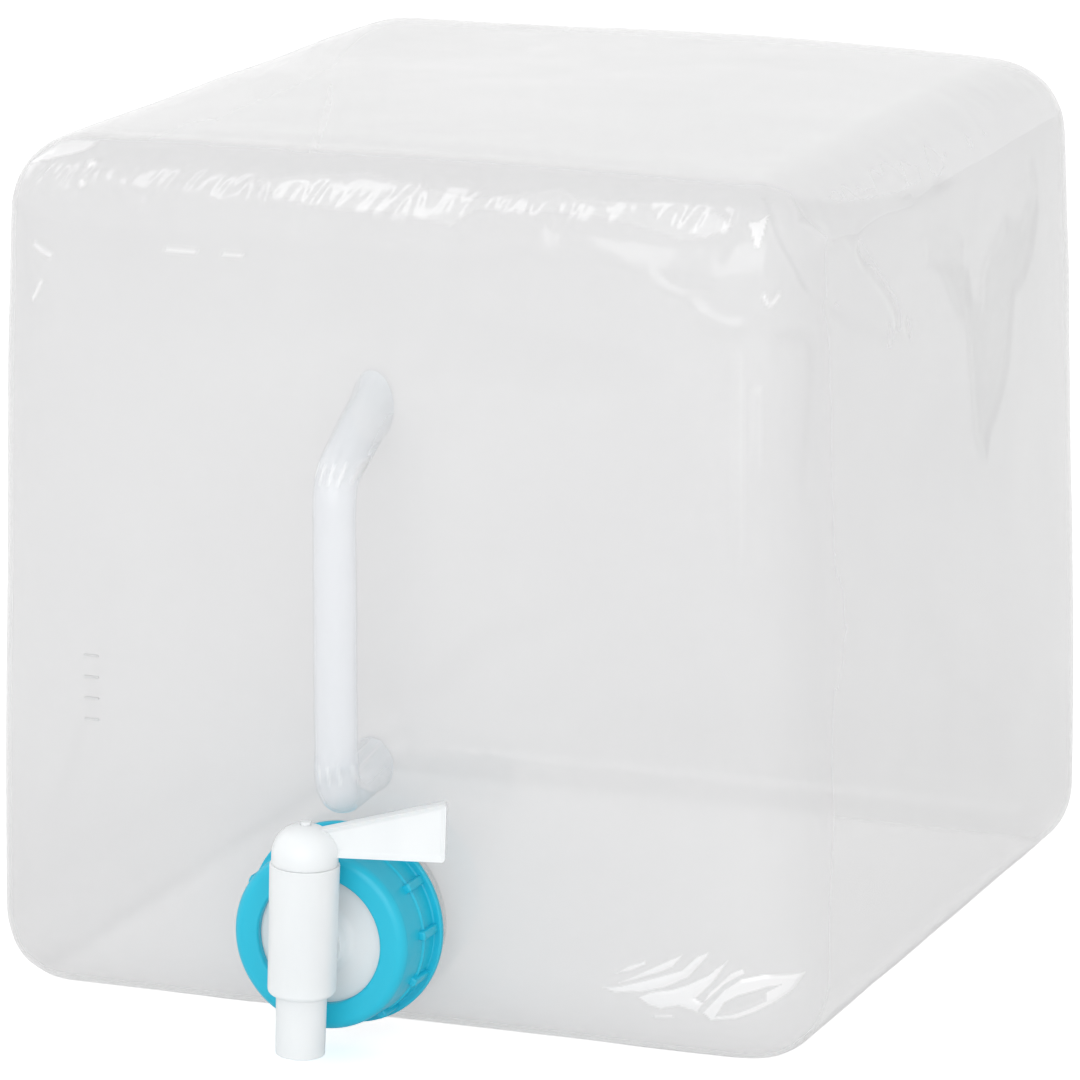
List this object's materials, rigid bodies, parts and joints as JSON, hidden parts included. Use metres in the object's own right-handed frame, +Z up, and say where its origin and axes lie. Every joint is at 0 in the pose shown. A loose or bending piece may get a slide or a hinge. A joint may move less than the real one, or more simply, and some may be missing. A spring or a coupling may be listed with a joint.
{
  "type": "collapsible water carrier",
  "caption": "Clear soft plastic cube that holds water, with a hollow front handle and a lever tap held on its neck by a screw ring; the bag folds flat when empty.",
  "frame": {"origin": "middle of the bag's base, on the surface that the bag stands on", "axes": "+Z up, -Y out of the face that carries the neck, the tap and the handle, +X to the right of someone who looks at that face"},
  "size_m": [0.287, 0.3605, 0.2834],
  "materials": {
    "film": "thin clear polyethylene film, slightly milky, with soft glossy creases",
    "handle": "thicker moulded clear polyethylene, faintly blue, satin",
    "teal": "moulded teal plastic with a soft sheen",
    "white": "moulded white plastic, satin",
    "rubber": "matt sealing rubber"
  },
  "bodies": {
    "bag": {"bag_front_panel": "film", "bag_side_walls": "film", "threaded_neck": "film", "carry_handle": "handle"},
    "bag_rear": {"bag_rear_panel": "film"},
    "tap": {"tap_body": "white", "neck_gasket": "rubber"},
    "ring": {"screw_ring": "teal"},
    "valve": {"valve_plug": "white", "plug_seal": "rubber", "tap_lever": "white"}
  },
  "joints": [
    {"name": "bag_collapse", "type": "slide", "parent": "bag", "child": "bag_rear", "axis": [0, -1, 0], "range_m": [0, 0.225], "deforming": ["bag_side_walls"]},
    {"name": "tap_slide", "type": "slide", "parent": "bag", "child": "tap", "axis": [0, -1, 0], "range_m": [0, 0.01376]},
    {"name": "ring_turn", "type": "hinge", "parent": "tap", "child": "ring", "pos_m": [-0.008, -0.172, 0.0405], "axis": [0, -1, 0], "range_deg": [0, 990]},
    {"name": "valve_turn", "type": "hinge", "parent": "tap", "child": "valve", "pos_m": [-0.008, -0.1968, 0.0405], "axis": [-0.0349, 0, -0.9994], "range_deg": [0, 90]}
  ],
  "couplings": [
    {"joint": "tap_slide", "follows": "ring_turn", "m_per_rad": 0.00079577}
  ]
}
